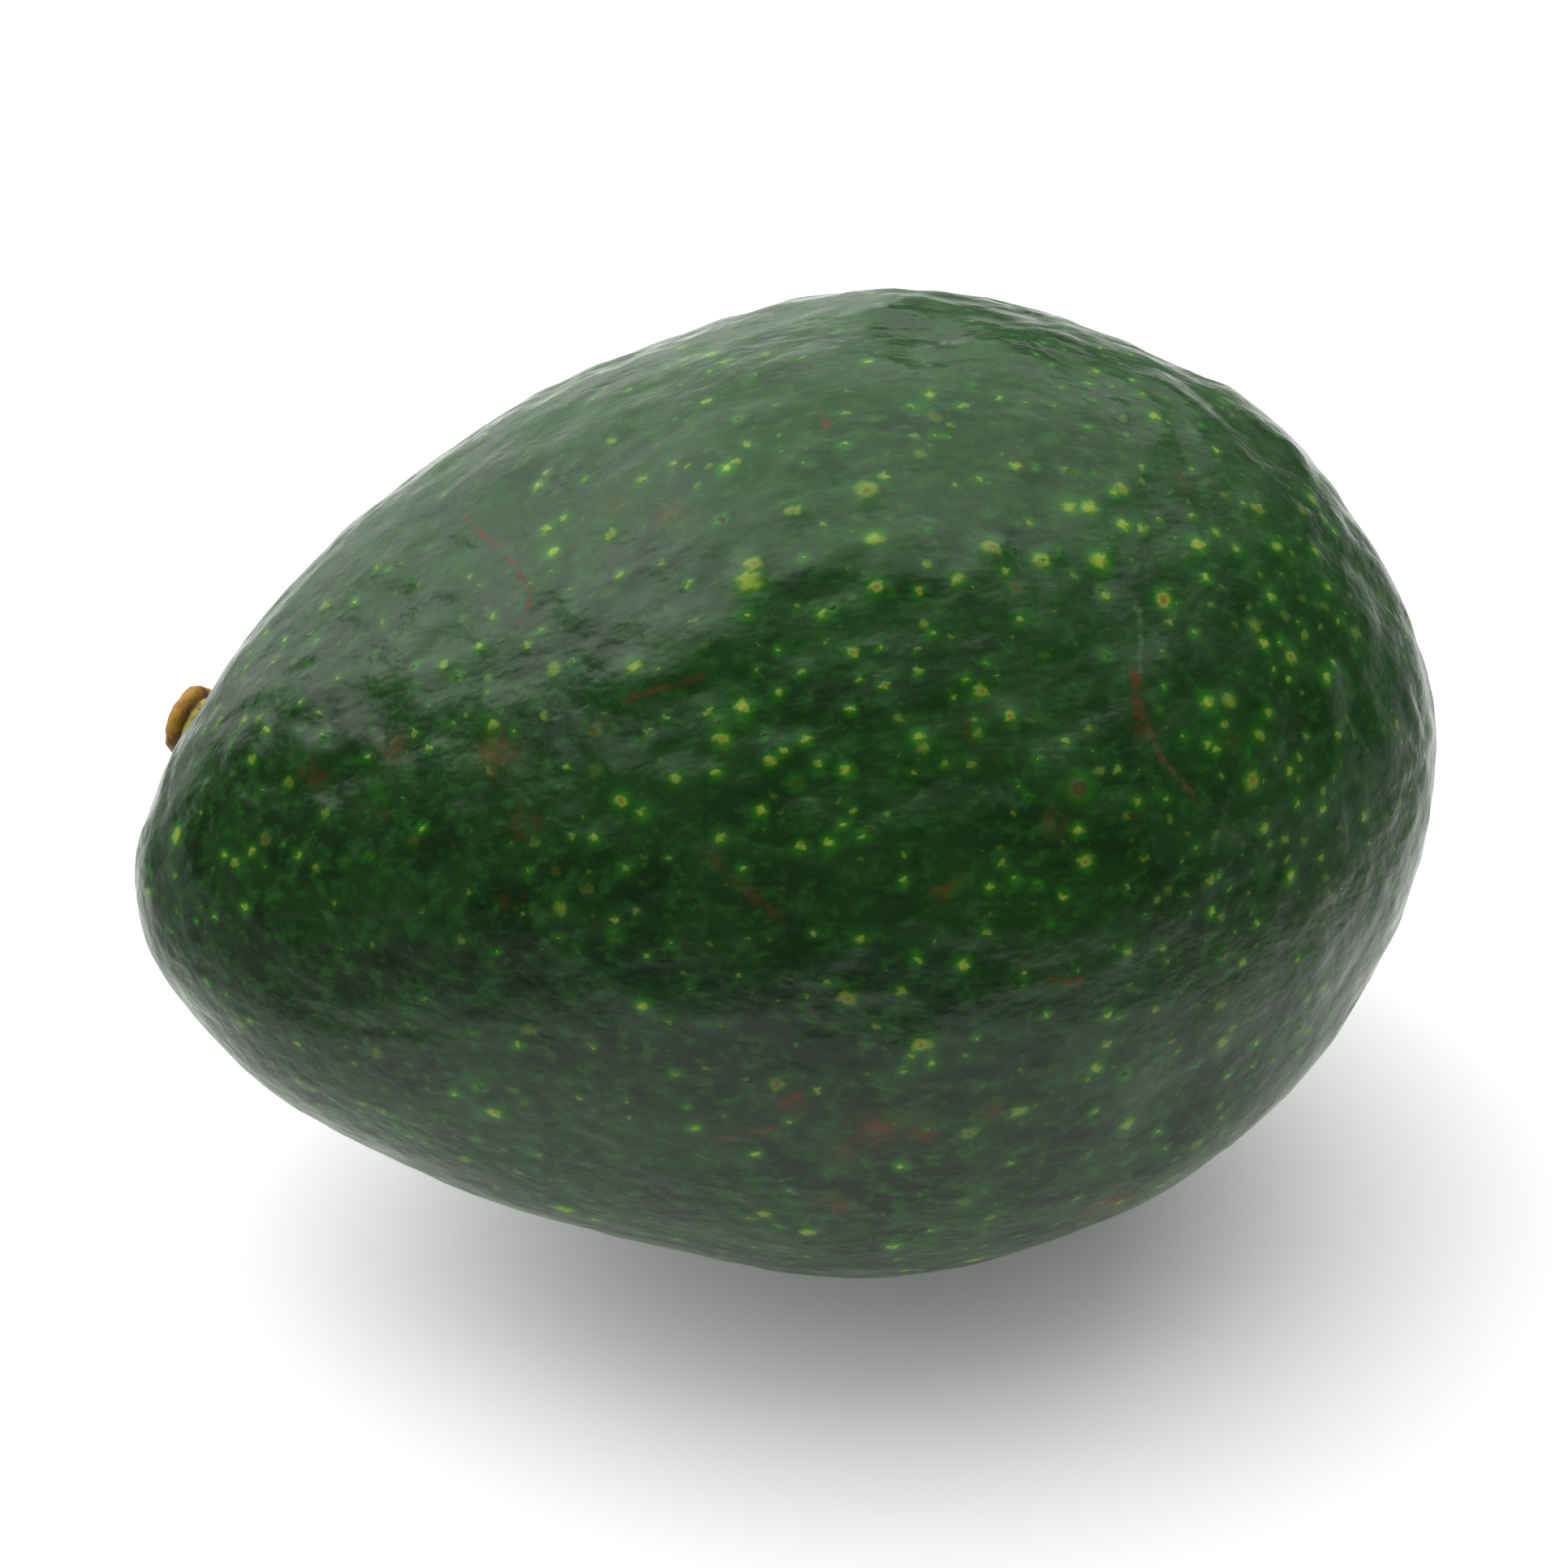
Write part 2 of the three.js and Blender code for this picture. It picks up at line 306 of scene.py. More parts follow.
@dataclass(frozen=True)
class Pore:
    """One breathing pore: a pale dot in a brighter green ring."""

    centre: Vector
    radius: float  # of the dot, mm
    strength: float  # how clearly it shows, 0 to 1
    tint: PoreTint

    @property
    def ring(self) -> float:
        """Returns the radius of the green ring."""
        return 0.4 + 1.8 * self.radius

    @property
    def rise(self) -> float:
        """Returns how far the pore stands up, in mm."""
        return 0.22 * self.radius * (0.4 + 0.6 * self.strength)

    @property
    def reach(self) -> float:
        """Returns how wide its swelling is, in mm."""
        return 1.5 * self.radius + 0.3


@dataclass(frozen=True)
class Scar:
    """A thin healed scratch or vein, as a line through pixels of the photograph."""

    pixels: tuple[tuple[float, float], ...]
    width: float  # half of it, mm
    strength: float
    paleness: float = 0.0  # 0 for brown cork, 1 for pale grey


@dataclass(frozen=True)
class Blotch:
    """A stained patch of skin about a pixel of the photograph."""

    pixel: tuple[float, float]
    radius: float  # mm
    strength: float


@dataclass(frozen=True)
class Fold:
    """A low step in the skin along pixels of the photograph, higher on its upper side."""

    pixels: tuple[tuple[float, float], ...]
    reach: float  # mm
    rise: float  # mm


@dataclass(frozen=True)
class Mound:
    """A low swelling about a pixel of the photograph, or a hollow where its rise is below 0."""

    pixel: tuple[float, float]
    reach: float  # mm
    rise: float  # mm


SCARS = (
    Scar(
        ((570, 634), (587, 651), (617, 674), (639, 705), (653, 729), (649, 753), (639, 767)),
        0.28,
        0.8,
    ),
    Scar(((1008, 500), (1014, 512), (1020, 525)), 0.4, 0.8),
    Scar(((1400, 742), (1405, 780), (1405, 828)), 0.35, 0.2, 1.0),
    Scar(((1398, 830), (1401, 850), (1400, 870), (1408, 886), (1415, 900)), 0.6, 0.75),
    Scar(((1415, 900), (1425, 922), (1440, 945), (1478, 990)), 0.4, 0.5, 0.2),
    Scar(((1478, 990), (1520, 1030), (1570, 1065)), 0.4, 0.3, 0.6),
    Scar(((870, 1050), (915, 1092), (960, 1130)), 0.6, 0.25),
    Scar(((880, 1405), (925, 1397), (955, 1390)), 0.4, 0.5),
    Scar(((960, 1362), (990, 1350)), 0.4, 0.6),
    Scar(((1295, 1209), (1320, 1210), (1340, 1207)), 0.4, 0.7),
    Scar(((770, 863), (804, 851), (839, 842), (866, 832)), 0.4, 0.45),
    Scar(((1280, 385), (1340, 402), (1400, 425), (1460, 452), (1520, 490)), 0.5, 0.45),
    Scar(((1683, 1195), (1678, 1222), (1660, 1250)), 0.7, 0.5),
)
BLOTCHES = (
    Blotch((1080, 1393), 2.0, 0.7),
    Blotch((1135, 1398), 1.2, 0.6),
    Blotch((1035, 1418), 1.2, 0.5),
    Blotch((1030, 1483), 1.5, 0.6),
    Blotch((1325, 972), 0.75, 0.85),
    Blotch((1299, 1015), 1.0, 0.5),
    Blotch((1641, 1115), 1.6, 0.6),
    Blotch((1623, 1150), 1.3, 0.5),
    Blotch((1375, 1480), 2.0, 0.6),
    Blotch((760, 625), 1.2, 0.3),
    Blotch((828, 637), 1.2, 0.6),
    Blotch((610, 930), 2.0, 0.45),
    Blotch((648, 1015), 1.2, 0.5),
    Blotch((484, 920), 1.5, 0.4),
    Blotch((1222, 1370), 1.0, 0.5),
    Blotch((977, 1359), 1.2, 0.5),
)
FOLDS = (
    Fold(((770, 863), (804, 851), (839, 842), (866, 832), (890, 822)), 3.0, 0.45),
    Fold(((574, 887), (608, 894), (653, 890)), 3.0, 0.33),
    Fold(((753, 977), (785, 982), (821, 983), (860, 990)), 3.0, 0.38),
    Fold(
        ((1069, 693), (1105, 713), (1140, 724), (1161, 708), (1186, 718), (1215, 713)), 2.6, 0.45
    ),
    Fold(((880, 705), (940, 712), (1000, 722), (1060, 735)), 4.0, 0.38),
    Fold(((960, 663), (976, 708), (952, 753), (873, 794)), 4.0, 0.45),
    Fold(((381, 945), (410, 940), (434, 932)), 2.0, 0.38),
    Fold(((287, 941), (314, 944), (340, 945)), 2.0, 0.38),
)
MOUNDS = (
    Mound((1128, 661), 2.2, 0.75),
    Mound((1067, 606), 1.6, 0.45),
    Mound((930, 698), 1.6, 0.45),
    Mound((977, 640), 2.2, 0.38),
    Mound((1220, 678), 1.8, 0.45),
    Mound((1130, 405), 4.0, -0.5),
    Mound((880, 610), 6.0, 0.52),
    Mound((1030, 742), 4.2, 0.4),
    Mound((1150, 748), 4.2, 0.4),
    Mound((800, 575), 3.0, 0.25),
)


class Skin:
    """A mesh of the fruit as rays and nearest points meet it, in mm."""

    def __init__(self, mesh: bpy.types.Mesh) -> None:
        """Reads the mesh.

        Args:
            mesh: The fruit's mesh.
        """
        count = len(mesh.vertices)
        places = np.empty(count * 3, np.float32)
        normals = np.empty(count * 3, np.float32)
        mesh.vertices.foreach_get("co", places)
        mesh.vertex_normals.foreach_get("vector", normals)
        self.places = places.reshape(-1, 3).astype(float) / MM
        self.normals = normals.reshape(-1, 3).astype(float)
        faces = [polygon.vertices[:] for polygon in mesh.polygons]
        self.tree = BVHTree.FromPolygons(self.places.tolist(), faces)
        self.middles = np.array([self.places[list(face)].mean(axis=0) for face in faces])

    def under(self, view: View, pixel: tuple[float, float]) -> Vector | None:
        """Finds the place that a pixel of the photograph shows.

        Args:
            view: The photograph's camera.
            pixel: Pixels from the left and top edge.

        Returns:
            The place, or None where the pixel misses the fruit.
        """
        return self.tree.ray_cast(view.eye(), view.ray(*pixel))[0]

    def nearest(self, place: Vector) -> Vector:
        """Returns the place on the mesh that is nearest to one beside it."""
        return self.tree.find_nearest(place)[0]


@dataclass(frozen=True)
class AvocadoSkin:
    """Avocado rind, grown and unpolished.

    The green comes from chlorophyll under a clear wax, so it is deep and saturated where the
    surroundings are dark, and a soft grey sheen lies over it where the wax mirrors a lamp. A
    lighter green towards the top, the back and the blossom end is painted light.
    """

    deep: str = "#0f290d"
    mid: str = "#1a4014"
    # lighter green painted on the top, the back and the blossom end as painted light from above
    painted_top_green: str = "#1b4e15"
    light: str = "#32702a"
    bloom: str = "#2b4a2c"
    ring: str = "#358f19"
    pore_pale: str = "#98b038"
    pore_corky: str = "#9a6220"
    pore_dark: str = "#3a2417"
    russet: str = "#5e3814"
    scar_pale: str = "#6d8a63"
    painted_light_slope: tuple[float, float, float] = (0.005, 0.008, 0.012)  # how much each mm along x, y and z adds to the painted top light
    painted_light_ramp: tuple[float, float] = (0.1, 1.05)  # sums where the painted top light starts and is whole
    ior: float = 1.37  # plant wax
    roughness: float = 0.25
    dulling: float = 0.14  # roughness that a pore's dot or a scar adds
    waver: float = 1.3  # how far the marks' edges stray, mm
    dot_squeeze: tuple[float, float, float] = (0.8, 1.0, 1.0)  # longer along the fruit
    pebble_depth: float = 0.16  # mm
    pebble_strength: float = 0.6
    dot_depth: float = 0.6  # as a share of the pebbles'

    def build(self) -> bpy.types.Material:
        """Makes the skin's material.

        Returns:
            The material, which reads Object coordinates and the marks' attributes.
        """
        material, tree = new_material("avocado_rind_grown")
        place = add_node(tree, "TexCoord").outputs["Object"]
        mm = add_node(
            tree, "VectorMath", {0: place, 1: (1 / MM,) * 3}, operation="MULTIPLY"
        ).outputs[0]
        grain = self._grain(tree, mm)
        colour = linear(self.deep)
        for share, tone in (
            ("mottle", self.mid),
            ("painted_top_light", self.painted_top_green),
            # this tone is a lighter green painted on the top, standing in for light from above
            ("fleck", self.light),
            ("bloom", self.bloom),
            ("stain", self.russet),
        ):
            colour = add_node(
                tree, "Mix", {0: grain[share], 6: colour, 7: linear(tone)}, data_type="RGBA"
            ).outputs[2]
        shaken = add_node(
            tree,
            "VectorMath",
            {0: grain["shake"], 1: (self.waver,) * 3, 2: mm},
            operation="MULTIPLY_ADD",
        ).outputs[0]
        colour, dot = self._pores(tree, shaken, colour)
        colour, scar = self._scars(tree, shaken, grain["ragged"], colour)
        dull = add_node(tree, "Math", {0: dot, 1: scar}, operation="MAXIMUM").outputs[0]
        rough = add_node(
            tree, "Math", {0: dull, 1: self.dulling, 2: grain["wax"]}, operation="MULTIPLY_ADD"
        ).outputs[0]
        relief = add_node(
            tree, "Math", {0: dot, 1: self.dot_depth, 2: grain["pebble"]}, operation="MULTIPLY_ADD"
        ).outputs[0]
        normal = add_node(
            tree,
            "Bump",
            {
                "Height": relief,
                "Strength": self.pebble_strength,
                "Distance": self.pebble_depth * MM,
            },
        ).outputs[0]
        shader = add_node(
            tree,
            "BsdfPrincipled",
            {"Base Color": colour, "Roughness": rough, "Normal": normal, "IOR": self.ior},
        )
        add_node(tree, "OutputMaterial", {"Surface": shader.outputs[0]})
        return material

    def _grain(
        self, tree: bpy.types.NodeTree, mm: bpy.types.NodeSocket
    ) -> dict[str, bpy.types.NodeSocket]:
        """Adds the skin's random unevenness at its real sizes.

        Args:
            tree: The material's tree.
            mm: The place in mm.

        Returns:
            What each unevenness is for, and its value.
        """
        # name, size in mm, stretch along the fruit, detail, roughness, the noise's values that
        # give the lowest and the highest result, and those results
        table = (
            ("mottle", 6.0, 1.6, 5.0, 0.65, 0.4, 0.6, 0.0, 1.0),
            ("shade", 5.0, 1.5, 4.0, 0.62, 0.34, 0.66, 0.35, 0.95),
            ("fleck", 1.5, 1.4, 5.0, 0.65, 0.46, 0.7, 0.0, 0.5),
            ("bloom", 11.0, 1.5, 5.0, 0.65, 0.46, 0.7, 0.0, 0.3),
            ("stain", 6.0, 1.3, 5.0, 0.7, 0.6, 0.76, 0.0, 0.5),
            ("ragged", 1.3, 1.0, 4.0, 0.7, 0.36, 0.64, 0.15, 1.6),
            ("wax", 5.0, 1.5, 5.0, 0.65, 0.3, 0.7, self.roughness - 0.09, self.roughness + 0.09),
            ("pebble", 2.4, 1.7, 2.5, 0.55, 0.25, 0.75, 0.0, 1.0),
        )
        values = {}
        for name, size, stretch, detail, roughness, low, high, least, most in table:
            fitted = add_node(
                tree, "Mapping", {"Vector": mm, "Scale": (1 / size / stretch, 1 / size, 1 / size)}
            ).outputs[0]
            raw = add_node(
                tree,
                "TexNoise",
                {"Vector": fitted, "Scale": 1.0, "Detail": detail, "Roughness": roughness},
            ).outputs["Fac"]
            values[name] = add_node(
                tree,
                "MapRange",
                {0: raw, 1: low, 2: high, 3: least, 4: most},
                interpolation_type="SMOOTHSTEP",
            ).outputs[0]
        # painted light: a lighter green towards the top, the back and the blossom end, where more
        # light falls, broken up by the shade noise
        rise = add_node(
            tree, "VectorMath", {0: mm, 1: self.painted_light_slope}, operation="DOT_PRODUCT"
        ).outputs["Value"]
        painted_light_share = add_node(
            tree,
            "MapRange",
            {0: rise, 1: self.painted_light_ramp[0], 2: self.painted_light_ramp[1], 3: 0.0, 4: 1.0},
            interpolation_type="SMOOTHSTEP",
        ).outputs[0]
        values["painted_top_light"] = add_node(
            tree, "Math", {0: painted_light_share, 1: values["shade"]}, operation="MULTIPLY"
        ).outputs[0]
        wobble = add_node(
            tree, "TexNoise", {"Vector": mm, "Scale": 1.3, "Detail": 3.0}
        ).outputs["Color"]
        values["shake"] = add_node(
            tree, "VectorMath", {0: wobble, 1: (0.5,) * 3}, operation="SUBTRACT"
        ).outputs[0]
        return values

    def _pores(
        self, tree: bpy.types.NodeTree, mm: bpy.types.NodeSocket, colour: bpy.types.NodeSocket
    ) -> tuple[bpy.types.NodeSocket, bpy.types.NodeSocket]:
        """Draws the pores' rings and dots over the green.

        Args:
            tree: The material's tree.
            mm: The place in mm, a little shaken.
            colour: The colour below them.

        Returns:
            The colour, and how much of a dot a place is.
        """
        ring, centre, look = (
            add_node(tree, "Attribute", attribute_name=name)
            for name in ("pore_ring", "pore_centre", "pore_look")
        )
        radius, tint, strength = add_node(tree, "SeparateXYZ", {0: look.outputs["Vector"]}).outputs
        offset = add_node(
            tree, "VectorMath", {0: mm, 1: centre.outputs["Vector"]}, operation="SUBTRACT"
        ).outputs[0]
        long_dot = add_node(
            tree, "VectorMath", {0: offset, 1: self.dot_squeeze}, operation="MULTIPLY"
        ).outputs[0]
        away = add_node(tree, "VectorMath", {0: long_dot}, operation="LENGTH").outputs["Value"]
        share = add_node(tree, "Math", {0: away, 1: radius}, operation="DIVIDE").outputs[0]
        masks = {}
        # name, value, where the mask starts and where it is whole, and how strong it then is
        for name, value, low, high, most in (
            ("ring", ring.outputs["Fac"], 0.0, 1.0, 0.8),
            ("dot", share, 1.3, 0.35, 1.0),
            ("heart", share, 0.6, 0.1, 1.0),
            ("corky", tint, 0.2, 0.5, 1.0),
            ("dark", tint, 0.6, 1.0, 1.0),
        ):
            masks[name] = add_node(
                tree,
                "MapRange",
                {0: value, 1: low, 2: high, 3: 0.0, 4: most},
                interpolation_type="SMOOTHSTEP",
            ).outputs[0]
        healed = add_node(
            tree, "Math", {0: masks["corky"], 1: masks["heart"]}, operation="MULTIPLY"
        ).outputs[0]
        shown = add_node(
            tree, "Math", {0: masks["dot"], 1: strength}, operation="MULTIPLY"
        ).outputs[0]
        tone = linear(self.pore_pale)
        for mask, hex_tone in ((healed, self.pore_corky), (masks["dark"], self.pore_dark)):
            tone = add_node(
                tree, "Mix", {0: mask, 6: tone, 7: linear(hex_tone)}, data_type="RGBA"
            ).outputs[2]
        for mask, over in ((masks["ring"], linear(self.ring)), (shown, tone)):
            colour = add_node(
                tree, "Mix", {0: mask, 6: colour, 7: over}, data_type="RGBA"
            ).outputs[2]
        return colour, shown

    def _scars(
        self,
        tree: bpy.types.NodeTree,
        mm: bpy.types.NodeSocket,
        ragged: bpy.types.NodeSocket,
        colour: bpy.types.NodeSocket,
    ) -> tuple[bpy.types.NodeSocket, bpy.types.NodeSocket]:
        """Draws the healed scratches and the stained patches.

        Args:
            tree: The material's tree.
            mm: The place in mm, a little shaken.
            ragged: What breaks up their edges.
            colour: The colour below them.

        Returns:
            The colour, and how much of a scar a place is.
        """
        start, way, look, patch = (
            add_node(tree, "Attribute", attribute_name=name)
            for name in ("scar_start", "scar_way", "scar_look", "russet")
        )
        width, strength, paleness = add_node(
            tree, "SeparateXYZ", {0: look.outputs["Vector"]}
        ).outputs
        offset = add_node(
            tree, "VectorMath", {0: mm, 1: start.outputs["Vector"]}, operation="SUBTRACT"
        ).outputs[0]
        forward, whole = (
            add_node(
                tree, "VectorMath", {0: first, 1: way.outputs["Vector"]}, operation="DOT_PRODUCT"
            ).outputs["Value"]
            for first in (offset, way.outputs["Vector"])
        )
        along = add_node(
            tree, "Math", {0: forward, 1: whole}, operation="DIVIDE", use_clamp=True
        ).outputs[0]
        nearest = add_node(
            tree, "VectorMath", {0: way.outputs["Vector"], "Scale": along}, operation="SCALE"
        ).outputs[0]
        away = add_node(
            tree, "VectorMath", {0: offset, 1: nearest}, operation="DISTANCE"
        ).outputs["Value"]
        share = add_node(tree, "Math", {0: away, 1: width}, operation="DIVIDE").outputs[0]
        line = add_node(
            tree,
            "MapRange",
            {0: share, 1: 1.4, 2: 0.2, 3: 0.0, 4: 1.0},
            interpolation_type="SMOOTHSTEP",
        ).outputs[0]
        drawn = add_node(tree, "Math", {0: line, 1: strength}, operation="MULTIPLY").outputs[0]
        both = add_node(
            tree, "Math", {0: drawn, 1: patch.outputs["Fac"]}, operation="MAXIMUM"
        ).outputs[0]
        scar = add_node(tree, "Math", {0: both, 1: ragged}, operation="MULTIPLY").outputs[0]
        tone = add_node(
            tree,
            "Mix",
            {0: paleness, 6: linear(self.russet), 7: linear(self.scar_pale)},
            data_type="RGBA",
        ).outputs[2]
        colour = add_node(tree, "Mix", {0: scar, 6: colour, 7: tone}, data_type="RGBA").outputs[2]
        return colour, scar


@dataclass(frozen=True)
class PoreGrowth:
    """Where the pores are: those that stand out in the photograph, and others by a seeded rule."""

    view: View
    uneven: tuple[float, float] = (0.6, 1.1)  # range of the noted pores' strengths
    contrast: float = 1.5  # above 1 the small ones are smaller than noted
    count: int = 2600
    tries: int = 7  # places drawn for each pore
    spacing: float = 1.4  # mm
    shift: float = 0.3  # from the middle of a face, mm
    run: tuple[float, float] = (-55.0, 55.0)  # x where they are fewest and most, mm
    patch: float = 16.0  # size of the thicker and thinner patches, mm
    # the least radius in mm, how fast larger ones get rare, and the greatest radius
    radii: tuple[float, float, float] = (0.13, 7.5, 0.7)
    strengths: tuple[float, ...] = (0.2, 0.3, 0.4, 0.6, 0.85)
    tint_weights: tuple[int, int, int] = (62, 31, 7)  # pale, corky, dark
    known_reach: float = 5.0  # this near a pore of the photograph the others are fainter, mm
    known_fade: float = 0.55  # the share of their strength that is left
    seed: int = 7

    def noted(self, skin: Skin) -> list[Pore]:
        """Places the pores that stand out in the photograph.

        Args:
            skin: The rounded skin.

        Returns:
            The pores.
        """
        pores = []
        draw = random.Random(self.seed)
        # the pores, how clearly they show, their size, and what they have become
        for group, strength, size, tint in (
            (BRIGHT_PORES, 0.9, 1.05, PoreTint.PALE),
            (FAINT_PORES, 0.5, 0.65, PoreTint.PALE),
            (CORKY_PORES, 0.7, 1.0, PoreTint.CORKY),
            (DARK_PORES, 0.85, 0.9, PoreTint.DARK),
        ):
            for x, y, radius in group:
                centre = skin.under(self.view, (x, y))
                if centre:
                    shown = strength * draw.uniform(*self.uneven)
                    pores.append(Pore(centre, size * radius**self.contrast, shown, tint))
        return pores

    def _density(self, place: Vector) -> float:
        """Tells how thick the pores stand at a place.

        Args:
            place: The place in mm.

        Returns:
            A share from 0 to 1: most at the blossom end, fewest on the neck.
        """
        neck, blossom = self.run
        along = min(1.0, max(0.0, (place.x - neck) / (blossom - neck)))
        patchy = 0.75 + 0.9 * noise.noise(place / self.patch)
        # 0.3 as many on the neck as at the blossom end, and a fifth of that in the barest patches
        return (0.3 + 0.7 * along) * min(1.0, max(0.2, patchy))

    def grown(self, skin: Skin, placed: list[Pore]) -> list[Pore]:
        """Spreads further pores over the skin by a seeded rule.

        Args:
            skin: The rounded skin.
            placed: The pores that are there already.

        Returns:
            The further pores.
        """
        draw = random.Random(self.seed)
        step = self.spacing
        cells: dict[tuple[int, ...], list[Vector]] = {}
        for pore in placed:
            cells.setdefault(cell(pore.centre, step), []).append(pore.centre)
        known = search_tree([pore.centre for pore in placed])
        pores: list[Pore] = []
        smallest, rarity, largest = self.radii
        picks = draw.choices(range(len(skin.middles)), k=self.count * self.tries)
        for pick in picks:
            place = Vector(skin.middles[pick])
            place += Vector([draw.uniform(-self.shift, self.shift) for _ in range(3)])
            if draw.random() > self._density(place):
                continue
            key = cell(place, step)
            near = [
                other
                for i in (-1, 0, 1)
                for j in (-1, 0, 1)
                for k in (-1, 0, 1)
                for other in cells.get((key[0] + i, key[1] + j, key[2] + k), [])
            ]
            if any((other - place).length < step for other in near):
                continue
            cells.setdefault(key, []).append(place)
            radius = min(largest, smallest + draw.expovariate(rarity))
            strength = draw.choice(self.strengths)
            if known.find(place)[2] < self.known_reach:
                strength *= self.known_fade
            tint = draw.choices(tuple(PoreTint), self.tint_weights)[0]
            pores.append(Pore(place, radius, strength, tint))
            if len(pores) + len(placed) >= self.count:
                break
        return pores


@dataclass
class Fruit:
    """The whole fruit: its solid rounded off, with the fine relief and marks of its skin."""

    view: View
    growth: PoreGrowth
    finish: AvocadoSkin
    node: str = "fruit"
    slot: str = "skin"
    body: str = "root"
    levels: int = 2  # halvings of the solid's squares
    # each size of lumps and creases, and their height or depth, mm
    lumps: tuple[tuple[float, float], ...] = ((12.0, 0.22), (6.0, 0.3), (3.0, 0.16))
    creases: tuple[tuple[float, float], ...] = ((14.0, 0.15), (7.0, 0.1))
    crease_width: float = 0.1  # the noise's value where a crease is a third as deep
    crease_squeeze: float = 0.6  # below 1 the creases run along the fruit
    # share of the lumps low on the sides, the height it holds up to and where they are whole, mm
    calm: tuple[float, float, float] = (0.35, 30.0, 65.0)
    rest_start: float = 0.3  # there is no relief up to this height, mm
    rest_clear: float = 4.0  # and all of it this much further up, mm
    bell_end: float = 2.5  # a swelling is cut off at this many times its reach
    fold_step: tuple[float, float] = (0.4, 1.6)  # a fold's share on its line, and its slope
    ring_end: float = 3.0  # no green ring reaches further, mm
    ring_fall: float = 1.6  # how steeply it fades
    scar_end: float = 4.0  # no scar reaches further, mm

    def build(self) -> bpy.types.Object:
        """Builds and dresses the fruit.

        Returns:
            The finished piece.
        """
        mesh = self._rounded()
        smooth = Skin(mesh)
        pores = self.growth.noted(smooth)
        pores += self.growth.grown(smooth, pores)
        LOG.info("fruit: %d pores", len(pores))
        self._raise(mesh, smooth, pores)
        skin = Skin(mesh)
        self._mark_pores(mesh, skin, pores)
        self._mark_scars(mesh, smooth, skin)
        mesh.materials.append(self.finish.build())
        piece = link_object("avocado_fruit", mesh)
        for polygon in mesh.polygons:
            polygon.use_smooth = True
        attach(piece, self.body)
        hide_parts(self.node)
        return piece

    def _rounded(self) -> bpy.types.Mesh:
        """Makes a merged copy of the solid in squares, and halves them smoothly.

        Returns:
            The rounded mesh.
        """
        copy = bmesh.new()
        copy.from_mesh(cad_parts[self.node].data)
        bmesh.ops.remove_doubles(copy, verts=copy.verts, dist=0.001 * MM)
        bmesh.ops.join_triangles(
            copy,
            faces=copy.faces,
            angle_face_threshold=math.radians(40),
            angle_shape_threshold=math.radians(70),
        )
        mesh = bpy.data.meshes.new("fruit_squares")
        copy.to_mesh(mesh)
        LOG.info("fruit: %d faces before smoothing", len(mesh.polygons))
        copy.free()
        cage = link_object("fruit_cage", mesh)
        subsurf = cage.modifiers.new("round", "SUBSURF")
        subsurf.levels = subsurf.render_levels = self.levels
        shape = cage.evaluated_get(bpy.context.evaluated_depsgraph_get())
        rounded = bpy.data.meshes.new_from_object(shape)
        rounded.name = "avocado_fruit"
        bpy.data.objects.remove(cage)
        rounded.materials.clear()
        return rounded

    def _raise(self, mesh: bpy.types.Mesh, skin: Skin, pores: list[Pore]) -> None:
        """Gives the skin its relief: rolling lumps, creases, raised pores, mounds and folds.

        Args:
            mesh: The rounded mesh, which is changed.
            skin: What it looked like before.
            pores: The pores.
        """
        places = skin.places
        height = np.zeros(len(places))
        for size, rise in self.lumps:
            shift = Vector((size, -size, 2 * size))
            raw = [noise.noise((Vector(place) + shift) / size) for place in places]
            height += rise * np.array(raw)
        for size, depth in self.creases:
            stretch = Vector((self.crease_squeeze / size, 1 / size, 1 / size))
            raw = [noise.noise(Vector(place) * stretch) for place in places]
            height -= depth * np.exp(-((np.array(raw) / self.crease_width) ** 2))
        least, low, high = self.calm
        height *= least + (1 - least) * np.clip((places[:, 2] - low) / (high - low), 0, 1)
        tree = search_tree(places)
        swellings = [(pore.centre, pore.reach, pore.rise) for pore in pores]
        for mound in MOUNDS:
            centre = skin.under(self.view, mound.pixel)
            swellings.append((centre, mound.reach, mound.rise))
        for centre, reach, rise in swellings:
            for _, i, away in tree.find_range(centre, self.bell_end * reach):
                height[i] += rise * math.exp(-((away / reach) ** 2))
        up = np.array(self.view.axes()[1])
        for fold in FOLDS:
            line = [skin.under(self.view, pixel) for pixel in fold.pixels]
            step = np.zeros(len(places))
            least = np.full(len(places), np.inf)
            for start, end in zip(line, line[1:]):
                offset = to_segment(places, start, end) / fold.reach
                away = np.linalg.norm(offset, axis=1)
                nearer = away < least
                least[nearer] = away[nearer]
                step[nearer] = (offset @ up)[nearer]
            on_line, slope = self.fold_step
            height += fold.rise * (on_line + slope * step) * np.exp(-(least**2))
        height *= np.clip((places[:, 2] - self.rest_start) / self.rest_clear, 0, 1)
        raised = places + skin.normals * height[:, None]
        mesh.vertices.foreach_set("co", (raised * MM).astype(np.float32).ravel())
        mesh.update()

